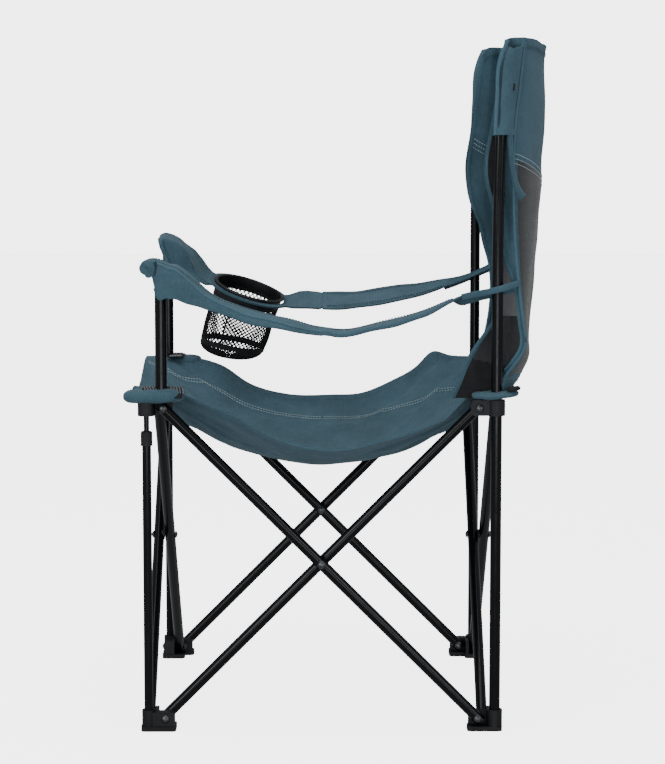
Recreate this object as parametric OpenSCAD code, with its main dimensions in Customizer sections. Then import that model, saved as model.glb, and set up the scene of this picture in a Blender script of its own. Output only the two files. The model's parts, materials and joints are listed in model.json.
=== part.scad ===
// Folding quad camp chair with two fabric armrests and a mesh cup holder.
// Four crossed tube pairs carry four hubs. The rear hubs slide on the rear posts,
// and the front hubs stand on rods that slide in the front leg tubes.
// The chair faces -Y, its left side is +X, and it stands on z = 0.

/* [Frame] */
// Distance between neighbouring uprights, centre to centre
post_pitch = 505; // [490:1:520]
// Distance from an upright's line to the pivots beside it
pivot_inset = 24.5; // [24:0.5:26]
// Height of the foot pivots
foot_pivot_z = 18; // [17.5:0.5:20]
// Outside diameter of the crossed tubes and of the rear posts
tube_d = 16; // [15:0.5:16]
// Wall thickness of the steel tubes
tube_wall = 1.2; // [1:0.1:1.5]
// Gap between two crossed tubes, where the saddle washer sits
cross_gap = 1; // [0.8:0.1:1.2]
// Height of the rear posts' tops
rear_post_top = 966; // [960:1:1020]
// Outside diameter of the front leg tubes
leg_tube_d = 13; // [12:0.5:14]
// Height of the front leg tubes' tops
leg_tube_top = 424; // [400:1:430]
// Diameter of the telescoping rods
rod_d = 8; // [7:0.5:8]
// Length of rod below the front hubs
rod_length = 330; // [300:5:360]
// Outside diameter of the arm posts
arm_post_d = 17; // [15:0.5:17]
// Height of the arm posts' tops
arm_post_top = 680; // [660:1:690]

/* [Joints] */
// Diameter of the rivets' shafts
rivet_d = 6; // [5:0.5:6]
// Diameter of the rivets' domed heads
rivet_head_d = 12; // [10:0.5:13]
// Radial clearance of a tube's hole on its rivet
rivet_clearance = 0.06; // [0.03:0.01:0.1]
// Radial clearance of the sliding hubs and of the rod guides
slide_clearance = 0.3; // [0.2:0.05:0.4]

/* [Seat] */
// Height of the seat's corners above the hub pivots
seat_corner_rise = 21; // [20:1:24]
// Depth of the sling at its middle, below the corners
seat_sag = 132; // [100:1:140]
// Dip of the seat's left and right edges
seat_side_dip = 55; // [30:1:60]
// Dip of the seat's front and rear edges
seat_end_dip = 15; // [5:1:20]
// Reach of the seat's front edge beyond the front legs
seat_front_reach = 36; // [20:1:40]
// Thickness of the padded fabric
fabric = 4; // [3:0.5:5]

/* [Back] */
// Height of the back's lower edge
back_bottom = 497; // [495:1:510]
// Height of the back's upper edge
back_top = 1004; // [1003:1:1030]
// Reach of the upper back behind the rear posts
back_reach = 81; // [60:1:90]
// Height at which the post sleeves start
sleeve_bottom = 866; // [820:1:880]

/* [Armrests] */
// Width of the armrest bands
arm_width = 60; // [50:1:66]
// Height of the bands' lowest point, half way along
arm_dip_z = 590; // [585:1:600]
// Height at which the bands meet the rear posts
arm_rear_z = 634; // [630:1:640]

/* [Cup holder] */
// Outside diameter of the cup ring's flange
ring_d = 119; // [114:1:124]
// Diameter of the cup opening
cup_d = 107; // [100:1:108]
// Depth of the mesh pocket
cup_depth = 105; // [95:1:110]
// Tilt of the cup ring down to the rear
ring_pitch = 17; // [10:1:20]
// Tilt of the cup ring down to the sitter
ring_roll = 11; // [5:1:12]

/* [Hidden] */
$fn = 48;
post = post_pitch / 2;
pivot = post - pivot_inset;
tube_r = tube_d / 2;
outer_line = post;
inner_line = post - tube_d - cross_gap;
// The crossed tubes stand at 45 degrees, so the pivots rise by their own spacing
rise = 2 * pivot;
hub_z = foot_pivot_z + rise;
cross_z = foot_pivot_z + rise / 2;
link = rise * sqrt(2);
tube_overrun = 7;
end_swing = norm([tube_overrun, tube_r]);
play = 0.3;
fit = 0.05;
rivet_r = rivet_d / 2;

// The rear posts' bend: the lean at a height, in degrees, and how far it has moved the post
post_foot = 4.5;
bend_z = 690;
bend_r = 5600;
function bend_at(z) = asin((z - bend_z) / bend_r);
function bend_off(z) = z < bend_z ? 0 : bend_r * (1 - cos(bend_at(z)));

// Feet
foot_h = 28;
foot_reach = 51;
foot_floor = foot_pivot_z - end_swing - play;
foot_edge = post + 11;
wall_t = 5;
socket_wall = 3.5;

// Hubs
hub_down = 10.5;
hub_up = 12.5;
hub_reach = 37;
hub_deck = hub_z + end_swing + 0.6;
hub_deck_t = 4;
sleeve_r = tube_r + 4.5;
arm_line = post - 2;
arm_inset = post - 21.5;
arm_socket_h = 6;
arm_post_foot = hub_deck + 2;

// Fabric
seat_z = hub_z + seat_corner_rise;
seat_half_width = post - 17;
seat_rear_reach = 27;
seat_front = post + seat_front_reach;
seat_rear = post + seat_rear_reach;
seat_flat = 0.68;
seat_steps = 8;
back_half_width = post - 11;
back_edge = post + 17.5;
arm_front_y = -post - 12;
arm_half_gap = 0.3;

arm_t = 3;
arm_top_z = arm_post_top + 4;
arm_steps = 8;
arm_flat = 0.22;

// Cup holder
ring_x = -post + 2;
ring_y = -120;
ring_z = 611;
flange_t = 2.5;
patch_d = 131;
patch_drop = flange_t / 2 + play + arm_t;
arm_top_end = -post + 39;
patch_front = ring_y - patch_d / 2;
patch_rear = ring_y + patch_d / 2;
function patch_z(y) = ring_z - patch_drop - (y - ring_y) * tan(ring_pitch);
skirt_depth = 15;
skirt_t = 2.5;
net_t = 1.5;

// The origin is the middle of the chair's outline on the ground
cup_lean = cos(ring_pitch) * sin(ring_roll);
cup_reach = -ring_x + cup_d / 2 * sqrt(1 - cup_lean * cup_lean) + (cup_depth - 8) * cup_lean;
shift_x = (cup_reach - (post + arm_width / 2)) / 2;
shift_y = (seat_front - (post + back_reach)) / 2;

REAR_LEFT = 0;
REAR_RIGHT = 1;
FRONT_RIGHT = 2;
FRONT_LEFT = 3;

// Moves a shape from the frame's own centre to the chair's origin
module place() translate([shift_x, shift_y, 0]) children();

// Turns a shape drawn at the rear left corner to any corner
module corner(i) rotate([0, 0, 90 * i]) children();

// A rectangle with round corners
module rounded_rect(x0, y0, x1, y1, r) {
  translate([x0 + r, y0]) square([x1 - x0 - 2 * r, y1 - y0]);
  translate([x0, y0 + r]) square([x1 - x0, y1 - y0 - 2 * r]);
  for (x = [x0 + r, x1 - r], y = [y0 + r, y1 - r]) translate([x, y]) circle(r);
}

// A wall that faces +X: its outline is drawn in Y and Z
module wall_x(x0, x1) translate([x0, 0, 0]) rotate([90, 0, 90]) linear_extrude(x1 - x0) children();

// A wall that faces +Y: its outline is drawn in X and Z
module wall_y(y0, y1) translate([0, y1, 0]) rotate([90, 0, 0]) linear_extrude(y1 - y0) children();

// A domed rivet head that stands on z = 0
module dome(d, h) {
  r = (d * d / 4 + h * h) / (2 * h);
  intersection() {
    translate([0, 0, h - r]) sphere(r);
    cylinder(d = d, h = h);
  }
}

// A rivet along +Z from z0 to z1, with a domed head at the far end and one at the near end if asked
module rivet(z0, z1, near_head) {
  head_h = 3.5;
  translate([0, 0, z0]) cylinder(r = rivet_r, h = z1 - z0);
  translate([0, 0, z1]) dome(rivet_head_d, head_h);
  if (near_head) translate([0, 0, z0]) mirror([0, 0, 1]) dome(rivet_head_d, head_h);
}

module along_x() rotate([0, 90, 0]) children();
module along_y() rotate([-90, 0, 0]) children();

// ---- Feet ----

module foot(bore_r) {
  inner_end = foot_edge - foot_reach;
  color([0.07, 0.07, 0.07]) difference() {
    union() {
      linear_extrude(foot_floor) {
        rounded_rect(inner_line + 2, inner_end, foot_edge, foot_edge, 6);
        rounded_rect(inner_end, inner_line - tube_r - 1, foot_edge, foot_edge, 6);
      }
      wall_x(outer_line - tube_r - play - wall_t, outer_line - tube_r - play)
        rounded_rect(inner_end + 2, 0, foot_edge - 4, foot_h, 3);
      wall_y(inner_line + tube_r + play, outer_line + tube_r)
        rounded_rect(inner_end + 2, 0, foot_edge - 4, foot_h, 6);
      translate([post, post, 0]) cylinder(r = bore_r + socket_wall, h = foot_h + 3);
    }
    translate([post, post, 4]) cylinder(r = bore_r + fit, h = foot_h);
    translate([outer_line - tube_r - wall_t - 1, pivot, foot_pivot_z])
      along_x() cylinder(r = rivet_r + fit, h = wall_t + 2);
    translate([pivot, inner_line, foot_pivot_z])
      along_y() cylinder(r = rivet_r + fit, h = 2 * tube_d);
  }
}

module foot_rivets() color([0.6, 0.6, 0.62]) {
  translate([0, pivot, foot_pivot_z])
    along_x() rivet(outer_line - tube_r - play - wall_t + 0.5, outer_line + tube_r + play, false);
  translate([pivot, 0, foot_pivot_z])
    along_y() rivet(inner_line - tube_r - play, outer_line + tube_r, true);
}

module foot_rear_left() place() corner(REAR_LEFT) foot(tube_r);
module foot_rear_right() place() corner(REAR_RIGHT) foot(tube_r);
module foot_front_left() place() corner(FRONT_LEFT) foot(leg_tube_d / 2);
module foot_front_right() place() corner(FRONT_RIGHT) foot(leg_tube_d / 2);

module foot_rivets_rear_left() place() corner(REAR_LEFT) foot_rivets();
module foot_rivets_rear_right() place() corner(REAR_RIGHT) foot_rivets();
module foot_rivets_front_left() place() corner(FRONT_LEFT) foot_rivets();
module foot_rivets_front_right() place() corner(FRONT_RIGHT) foot_rivets();

// ---- Uprights ----

// An upright steel tube at the corner's post line
module upright(d, z0, z1) color([0.03, 0.03, 0.035]) translate([post, post, z0]) difference() {
  cylinder(d = d, h = z1 - z0);
  translate([0, 0, -1]) cylinder(d = d - 2 * tube_wall, h = z1 - z0 + 2);
}

// A plastic plug with a domed top for an upright's open end
module end_plug(d) color([0.07, 0.07, 0.07]) {
  translate([0, 0, -12]) cylinder(d = d - 2 * tube_wall - 2 * fit, h = 12);
  dome(d, 3.5);
}

// The top of a rear post bends gently to the rear
module bend_frame(sx) translate([sx * post, post + bend_r, bend_z]) rotate([90, 0, -90]) children();

module bent_tube(sx, z0, z1, outer_r, inner_r) bend_frame(sx) rotate([0, 0, bend_at(z0)])
  rotate_extrude(angle = bend_at(z1) - bend_at(z0), $fn = 1440) translate([bend_r, 0]) difference() {
    circle(r = outer_r, $fn = 48);
    circle(r = inner_r, $fn = 48);
  }

module rear_post(sx) color([0.03, 0.03, 0.035]) {
  translate([sx * post, post, post_foot]) difference() {
    cylinder(r = tube_r, h = bend_z - post_foot, $fn = 48);
    translate([0, 0, -1]) cylinder(r = tube_r - tube_wall, h = bend_z, $fn = 48);
  }
  bent_tube(sx, bend_z, rear_post_top, tube_r, tube_r - tube_wall);
}

module post_cap(sx) bend_frame(sx) rotate([0, 0, bend_at(rear_post_top)])
  translate([bend_r, 0, 0]) rotate([-90, 0, 0]) end_plug(tube_d);

module rear_post_left() place() rear_post(1);
module rear_post_right() place() rear_post(-1);
module leg_tube_left() place() corner(FRONT_LEFT) upright(leg_tube_d, post_foot, leg_tube_top);
module leg_tube_right() place() corner(FRONT_RIGHT) upright(leg_tube_d, post_foot, leg_tube_top);

module post_cap_left() place() post_cap(1);
module post_cap_right() place() post_cap(-1);

// The guide on top of a front leg tube
module collar() color([0.07, 0.07, 0.07]) translate([post, post, leg_tube_top]) difference() {
  union() {
    translate([0, 0, -4]) cylinder(d = leg_tube_d + 4, h = 19);
    translate([0, 0, 15]) cylinder(d1 = leg_tube_d + 4, d2 = leg_tube_d + 1, h = 2);
  }
  translate([0, 0, -5]) cylinder(d = leg_tube_d + 2 * fit, h = 5);
  translate([0, 0, -1]) cylinder(d = rod_d + 2 * slide_clearance, h = 20);
}

module collar_left() place() corner(FRONT_LEFT) collar();
module collar_right() place() corner(FRONT_RIGHT) collar();

module rod() color([0.03, 0.03, 0.035]) translate([post, post, hub_z - hub_down - rod_length])
  cylinder(d = rod_d, h = rod_length + hub_down + 6);

module rod_left() place() corner(FRONT_LEFT) rod();
module rod_right() place() corner(FRONT_RIGHT) rod();

// ---- Hubs ----

// The body that every hub shares: a sleeve at the upright and one wall beside each tube
module hub_body() {
  inner_end = post - hub_reach;
  bottom = hub_z - hub_down;
  top = hub_z + hub_up;
  translate([post, post, bottom]) cylinder(r = sleeve_r, h = hub_up + hub_down);
  wall_x(inner_line + tube_r + play, outer_line + tube_r - 1)
    rounded_rect(inner_end, bottom, post + 2, top, 6);
  wall_y(outer_line - tube_r - play - wall_t, outer_line - tube_r - play)
    rounded_rect(inner_end, bottom, post + 2, top, 3);
}

module hub_rivet_holes() {
  translate([inner_line, pivot, hub_z]) along_x() cylinder(r = rivet_r + fit, h = 2 * tube_d);
  translate([pivot, outer_line - tube_r - wall_t - 1, hub_z])
    along_y() cylinder(r = rivet_r + fit, h = wall_t + 2);
}

module sliding_hub() color([0.07, 0.07, 0.07]) difference() {
  hub_body();
  hub_rivet_holes();
  translate([post, post, hub_z - 30]) cylinder(r = tube_r + slide_clearance, h = 60);
}

// A front hub holds the rod from below and carries the arm post's socket on a deck
module fixed_hub() color([0.07, 0.07, 0.07]) difference() {
  union() {
    hub_body();
    translate([0, 0, hub_deck]) linear_extrude(hub_deck_t) {
      rounded_rect(post - hub_reach, outer_line - tube_r - play - wall_t, post + sleeve_r - 2, post + 10, 5);
    }
    translate([arm_inset, arm_line, hub_deck]) cylinder(d = arm_post_d + 7, h = hub_deck_t + arm_socket_h);
  }
  hub_rivet_holes();
  translate([post, post, hub_z - 30]) cylinder(d = rod_d + 2 * fit, h = 36);
  translate([arm_inset, arm_line, arm_post_foot]) cylinder(d = arm_post_d + 2 * fit, h = 40);
}

module hub_rivets() color([0.6, 0.6, 0.62]) {
  translate([0, pivot, hub_z]) along_x() rivet(inner_line - tube_r - play, outer_line + tube_r - 1, true);
  translate([pivot, 0, hub_z])
    along_y() rivet(outer_line - tube_r - play - wall_t + 0.5, outer_line + tube_r + play, false);
}

module hub_rear_left() place() corner(REAR_LEFT) sliding_hub();
module hub_rear_right() place() corner(REAR_RIGHT) sliding_hub();
module hub_front_left() place() corner(FRONT_LEFT) fixed_hub();
module hub_front_right() place() corner(FRONT_RIGHT) fixed_hub();

module hub_rivets_rear_left() place() corner(REAR_LEFT) hub_rivets();
module hub_rivets_rear_right() place() corner(REAR_RIGHT) hub_rivets();
module hub_rivets_front_left() place() corner(FRONT_LEFT) hub_rivets();
module hub_rivets_front_right() place() corner(FRONT_RIGHT) hub_rivets();

module arm_post() color([0.03, 0.03, 0.035]) translate([arm_inset, arm_line, arm_post_foot + 0.3]) difference() {
  cylinder(d = arm_post_d, h = arm_post_top - arm_post_foot - 0.3);
  translate([0, 0, -1]) cylinder(d = arm_post_d - 2 * tube_wall, h = arm_post_top);
}

module arm_post_left() place() corner(FRONT_LEFT) arm_post();
module arm_post_right() place() corner(FRONT_RIGHT) arm_post();
module arm_cap_left() place() corner(FRONT_LEFT) translate([arm_inset, arm_line, arm_post_top]) end_plug(arm_post_d);
module arm_cap_right() place() corner(FRONT_RIGHT) translate([arm_inset, arm_line, arm_post_top]) end_plug(arm_post_d);

// ---- Crossed tubes ----

// One tube on the +X side at distance line, leaning up towards -Y (lean 1) or +Y (lean -1)
module cross_tube(line, lean, cross_play) color([0.03, 0.03, 0.035])
  translate([line, 0, cross_z]) rotate([lean * 45, 0, 0]) difference() {
    cylinder(d = tube_d, h = link + 2 * tube_overrun, center = true);
    cylinder(d = tube_d - 2 * tube_wall, h = link + 3 * tube_overrun, center = true);
    for (z = [-link / 2, link / 2]) translate([-tube_d, 0, z])
      along_x() cylinder(r = rivet_r + rivet_clearance, h = 2 * tube_d);
    translate([-tube_d, 0, 0]) along_x() cylinder(r = rivet_r + cross_play, h = 2 * tube_d);
  }

module outer_tube() cross_tube(outer_line, 1, fit);
module inner_tube() cross_tube(inner_line, -1, rivet_clearance);

module tube_left_outer() place() corner(REAR_LEFT) outer_tube();
module tube_left_inner() place() corner(REAR_LEFT) inner_tube();
module tube_rear_outer() place() corner(REAR_RIGHT) outer_tube();
module tube_rear_inner() place() corner(REAR_RIGHT) inner_tube();
module tube_right_outer() place() corner(FRONT_RIGHT) outer_tube();
module tube_right_inner() place() corner(FRONT_RIGHT) inner_tube();
module tube_front_outer() place() corner(FRONT_LEFT) outer_tube();
module tube_front_inner() place() corner(FRONT_LEFT) inner_tube();

module cross_rivet() color([0.6, 0.6, 0.62]) translate([0, 0, cross_z])
  along_x() rivet(inner_line - tube_r - play, outer_line + tube_r, true);

// A plastic saddle washer that seats on the outer tube
module saddle_washer() color([0.07, 0.07, 0.07]) difference() {
  translate([inner_line + tube_r + play, 0, cross_z]) along_x() cylinder(d = 15, h = 5);
  translate([inner_line, 0, cross_z]) along_x() cylinder(r = rivet_r + fit, h = 40);
  translate([outer_line, 0, cross_z]) rotate([45, 0, 0]) cylinder(d = tube_d + 2 * fit, h = 60, center = true);
}

module cross_rivet_left() place() corner(REAR_LEFT) cross_rivet();
module cross_rivet_rear() place() corner(REAR_RIGHT) cross_rivet();
module cross_rivet_right() place() corner(FRONT_RIGHT) cross_rivet();
module cross_rivet_front() place() corner(FRONT_LEFT) cross_rivet();
module washer_left() place() corner(REAR_LEFT) saddle_washer();
module washer_rear() place() corner(REAR_RIGHT) saddle_washer();
module washer_right() place() corner(FRONT_RIGHT) saddle_washer();
module washer_front() place() corner(FRONT_LEFT) saddle_washer();

// ---- Fabric ----

// A closed sheet over a grid of top points, with the bottom points given beside them
module sheet_solid(top, under) {
  rows = len(top);
  cols = len(top[0]);
  n = rows * cols;
  points = concat([for (r = top) for (p = r) p], [for (r = under) for (p = r) p]);
  quads = [for (i = [0 : rows - 2]) for (j = [0 : cols - 2]) i * cols + j];
  faces = concat(
    [for (k = quads) [k, k + cols, k + 1]],
    [for (k = quads) [k + 1, k + cols, k + cols + 1]],
    [for (k = quads) [n + k, n + k + 1, n + k + cols]],
    [for (k = quads) [n + k + 1, n + k + cols + 1, n + k + cols]],
    [for (j = [0 : cols - 2]) [j, j + 1, n + j + 1, n + j]],
    [for (j = [0 : cols - 2]) [(rows - 1) * cols + j + 1, (rows - 1) * cols + j,
      n + (rows - 1) * cols + j, n + (rows - 1) * cols + j + 1]],
    [for (i = [0 : rows - 2]) [(i + 1) * cols, i * cols, n + i * cols, n + (i + 1) * cols]],
    [for (i = [0 : rows - 2]) [i * cols + cols - 1, (i + 1) * cols + cols - 1,
      n + (i + 1) * cols + cols - 1, n + i * cols + cols - 1]]
  );
  polyhedron(points, faces, convexity = 6);
}

// The sling's height at share u of its half width and v of its half depth: flat where it crosses a hub
function off_corner(u, v) = 1 - pow(min(1, u * v / seat_flat), 3);
function seat_height(u, v) = seat_z - off_corner(u, v) * (
  seat_side_dip * (1 - v * v) * u * u
  + seat_end_dip * (1 - u * u) * v * v
  + seat_sag * (1 - u * u) * (1 - v * v));

// One quarter of the sling, to +X and +Y before it is mirrored
module seat_quarter(sx, sy, depth) color([0.24, 0.36, 0.41]) difference() {
  seat_sheet(sx, sy, depth);
  for (p = [[post, post], [arm_inset, arm_line], [arm_line, arm_inset]])
    translate([sx * p[0], sy * p[1], hub_z - 40]) cylinder(r = sleeve_r + 2, h = 120);
}

module seat_sheet(sx, sy, depth) {
  grid = [for (i = [0 : seat_steps]) [for (j = [0 : seat_steps]) [i / seat_steps, j / seat_steps]]];
  top = [for (r = grid) [for (p = r)
    [sx * (arm_half_gap + p[0] * (seat_half_width - arm_half_gap)),
     sy * (arm_half_gap + p[1] * (depth - arm_half_gap)),
     seat_height(p[0], p[1])]]];
  under = [for (r = top) [for (p = r) p - [0, 0, fabric]]];
  if (sx * sy > 0) sheet_solid(under, top);
  else sheet_solid(top, under);
}

module seat_rear_left() place() seat_quarter(1, 1, seat_rear);
module seat_rear_right() place() seat_quarter(-1, 1, seat_rear);
module seat_front_left() place() seat_quarter(1, -1, seat_front);
module seat_front_right() place() seat_quarter(-1, -1, seat_front);

// Middle line of the back: it leans back from the lower edge and stays upright above
back_rows = [back_bottom, 548, 650, 795, sleeve_bottom, back_top];
back_mid = [30, 60, 67, 77, 81, 81] * back_reach / 81;
back_side = [17.5, 19, 20, 0, bend_off(sleeve_bottom) - 2, bend_off(back_top) - 2];
back_steps = 6;

module back_half(sx) color([0.24, 0.36, 0.41]) {
  front = [for (i = [0 : len(back_rows) - 1]) [for (j = [0 : back_steps])
    let (u = j / back_steps, bulge = sqrt(max(0, 1 - u * u)))
    [sx * (arm_half_gap + u * (back_half_width - arm_half_gap)),
     post + back_side[i] + (back_mid[i] - back_side[i]) * bulge - fabric,
     back_rows[i]]]];
  behind = [for (r = front) [for (p = r) p + [0, fabric, 0]]];
  if (sx > 0) sheet_solid(front, behind);
  else sheet_solid(behind, front);
  bent_tube(sx, sleeve_bottom, back_top, tube_r + 4, tube_r + 2 * fit);
}

module back_left() place() back_half(1);
module back_right() place() back_half(-1);

// ---- Armrests ----

// Height of a band's underside from its front roll, through the dip, to the rear post
function front_band_z(y) = let (t = (y - arm_front_y) / -arm_front_y, s = max(0, (t - arm_flat) / (1 - arm_flat)))
  arm_top_z - (arm_top_z - arm_dip_z) * (1 - pow(1 - s, 2));
function rear_band_z(y) = let (t = y / (post - 14)) arm_dip_z + (arm_rear_z - arm_dip_z) * t * t;

function band_outline(ys, zs) = concat(
  [for (i = [0 : len(ys) - 1]) [ys[i], zs[i]]],
  [for (i = [len(ys) - 1 : -1 : 0]) [ys[i], zs[i] + arm_t]]);

module front_band(sx) {
  ys = [for (i = [0 : arm_steps]) arm_front_y + i / arm_steps * (-arm_front_y - arm_half_gap)];
  wall_x(sx * post - arm_width / 2, sx * post + arm_width / 2)
    polygon(band_outline(ys, [for (y = ys) front_band_z(y)]));
}

module rear_band(sx) {
  ys = [for (i = [0 : arm_steps]) arm_half_gap + i / arm_steps * (post - 14 - arm_half_gap)];
  wall_x(sx * post - arm_width / 2, sx * post + arm_width / 2)
    polygon(band_outline(ys, [for (y = ys) rear_band_z(y)]));
}

module ring_frame() translate([ring_x, ring_y, ring_z]) rotate([-ring_pitch, ring_roll, 0]) children();

module armrest_front_left() place() color([0.24, 0.36, 0.41]) front_band(1);
module armrest_rear_left() place() color([0.24, 0.36, 0.41]) rear_band(1);
module armrest_rear_right() place() color([0.24, 0.36, 0.41]) rear_band(-1);

// The right band lies in the ring's plane, and widens to a round patch under the ring
module armrest_front_right() place() color([0.24, 0.36, 0.41]) difference() {
  union() {
    wall_x(-post - arm_width / 2, -post + arm_width / 2) polygon(band_outline(
      [arm_front_y, arm_top_end, patch_front, patch_rear, patch_rear + 20, -arm_half_gap],
      [arm_top_z, arm_top_z, patch_z(patch_front), patch_z(patch_rear), arm_dip_z, arm_dip_z]));
    ring_frame() translate([0, 0, -patch_drop]) cylinder(d = patch_d, h = arm_t);
  }
  ring_frame() translate([0, 0, -flange_t / 2 - play]) cylinder(d = ring_d + 1, h = 10);
  ring_frame() translate([0, 0, -30]) cylinder(d = cup_d + 2 * skirt_t + 2 * play, h = 60);
}

// ---- Cup holder ----

module cup_ring() place() color([0.05, 0.05, 0.05]) ring_frame() rotate_extrude($fn = 72)
  union() {
    translate([cup_d / 2, -flange_t / 2]) square([(ring_d - cup_d) / 2, flange_t]);
    translate([cup_d / 2, -skirt_depth]) square([skirt_t, skirt_depth]);
  }

module cup_pocket() place() color([0.09, 0.09, 0.09]) ring_frame() rotate_extrude($fn = 72)
  polygon([
    [cup_d / 2 - net_t, -skirt_depth],
    [cup_d / 2, -skirt_depth],
    [cup_d / 2, -cup_depth + 8],
    [cup_d / 2 - 8, -cup_depth],
    [0, -cup_depth - 6],
    [0, -cup_depth - 6 + net_t],
    [cup_d / 2 - 8 - net_t / 2, -cup_depth + net_t],
    [cup_d / 2 - net_t, -cup_depth + 8]
  ]);

foot_rear_left();
foot_rear_right();
foot_front_left();
foot_front_right();
foot_rivets_rear_left();
foot_rivets_rear_right();
foot_rivets_front_left();
foot_rivets_front_right();
rear_post_left();
rear_post_right();
post_cap_left();
post_cap_right();
leg_tube_left();
leg_tube_right();
collar_left();
collar_right();
rod_left();
rod_right();
hub_rear_left();
hub_rear_right();
hub_front_left();
hub_front_right();
hub_rivets_rear_left();
hub_rivets_rear_right();
hub_rivets_front_left();
hub_rivets_front_right();
arm_post_left();
arm_post_right();
arm_cap_left();
arm_cap_right();
tube_left_outer();
tube_left_inner();
tube_right_outer();
tube_right_inner();
tube_front_outer();
tube_front_inner();
tube_rear_outer();
tube_rear_inner();
cross_rivet_left();
cross_rivet_right();
cross_rivet_front();
cross_rivet_rear();
washer_left();
washer_right();
washer_front();
washer_rear();
seat_rear_left();
seat_rear_right();
seat_front_left();
seat_front_right();
back_left();
back_right();
armrest_front_left();
armrest_rear_left();
armrest_front_right();
armrest_rear_right();
cup_ring();
cup_pocket();
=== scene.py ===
import json
import math
import random

import bpy
import numpy as np
from mathutils import Matrix, Vector


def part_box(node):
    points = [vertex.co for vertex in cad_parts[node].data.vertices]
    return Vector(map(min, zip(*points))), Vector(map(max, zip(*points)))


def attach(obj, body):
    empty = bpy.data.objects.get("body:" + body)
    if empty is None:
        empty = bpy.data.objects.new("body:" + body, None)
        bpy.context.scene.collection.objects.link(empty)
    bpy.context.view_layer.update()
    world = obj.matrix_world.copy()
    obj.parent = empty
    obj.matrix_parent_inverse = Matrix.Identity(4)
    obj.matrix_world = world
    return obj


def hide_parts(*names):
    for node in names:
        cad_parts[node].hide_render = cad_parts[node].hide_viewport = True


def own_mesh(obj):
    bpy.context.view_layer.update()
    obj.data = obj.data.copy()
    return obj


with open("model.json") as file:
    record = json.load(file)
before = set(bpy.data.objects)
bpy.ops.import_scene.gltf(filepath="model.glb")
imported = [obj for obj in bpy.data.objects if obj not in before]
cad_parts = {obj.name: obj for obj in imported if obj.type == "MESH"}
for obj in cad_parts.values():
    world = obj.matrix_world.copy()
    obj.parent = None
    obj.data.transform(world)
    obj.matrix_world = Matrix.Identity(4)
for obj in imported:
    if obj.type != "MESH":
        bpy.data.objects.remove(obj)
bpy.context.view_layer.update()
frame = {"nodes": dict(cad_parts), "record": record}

# Sizes are in millimetres, from a centre line midway between the four posts; at() turns them
# into the CAD model's own frame, in metres.
MM = 0.001


def centre(node):
    low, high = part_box(node)
    return (low + high) / 2


REAR_POST = centre("rear_post_left")
SHIFT = Vector((
    (REAR_POST.x + centre("rear_post_right").x) / 2,
    (REAR_POST.y + centre("leg_tube_left").y) / 2,
    0,
))
POST = (REAR_POST.x - SHIFT.x) / MM

SEAT_HALF_WIDTH = POST - 17
SEAT_FRONT = POST + 36
SEAT_REAR = POST + 27
SEAT_Z = 495.0
SEAT_SEAM = 180.0
BACK_TOP = 1004.0
BACK_BOTTOM = 497.0
SLEEVE_BOTTOM = 866.0
ARM_FRONT = -POST - 12

CORNERS = {
    "rear_left": (1, 1),
    "rear_right": (-1, 1),
    "front_right": (-1, -1),
    "front_left": (1, -1),
}
SIDES = {"left": 1, "right": -1}


def at(x, y, z):
    return Vector((x, y, z)) * MM + SHIFT


# ---- Curves and waves ----


def profile(points):
    """A smooth function of t through (t, value) points."""
    t, p = (np.array(c, float) for c in zip(*points))
    slope = np.gradient(p, t)

    def value(x):
        x = np.clip(x, t[0], t[-1])
        i = np.clip(np.searchsorted(t, x, side="right") - 1, 0, len(t) - 2)
        h = t[i + 1] - t[i]
        s = (x - t[i]) / h
        return (
            (1 + 2 * s) * (1 - s) ** 2 * p[i]
            + s * (1 - s) ** 2 * h * slope[i]
            + s * s * (3 - 2 * s) * p[i + 1]
            + s * s * (s - 1) * h * slope[i + 1]
        )

    return value


def bump(x, middle, width):
    """1 at middle, falling smoothly to nothing about width away."""
    return np.exp(-(((x - middle) / width) ** 2))


def ramp(x, low, high):
    """0 below low, 1 above high, smooth between."""
    t = np.clip((x - low) / (high - low), 0, 1)
    return t * t * (3 - 2 * t)


def waves(a, b, size, seed, count=7):
    """Gentle irregular waves over a plane, between about -1 and 1, with a wavelength near size."""
    draw = random.Random(seed)
    total = 0
    for _ in range(count):
        angle = draw.uniform(0, math.tau)
        length = size * draw.uniform(0.6, 1.5)
        total = total + np.sin(
            (a * math.cos(angle) + b * math.sin(angle)) * math.tau / length + draw.uniform(0, math.tau)
        )
    return total / count * 1.6


# ---- Materials ----


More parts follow.
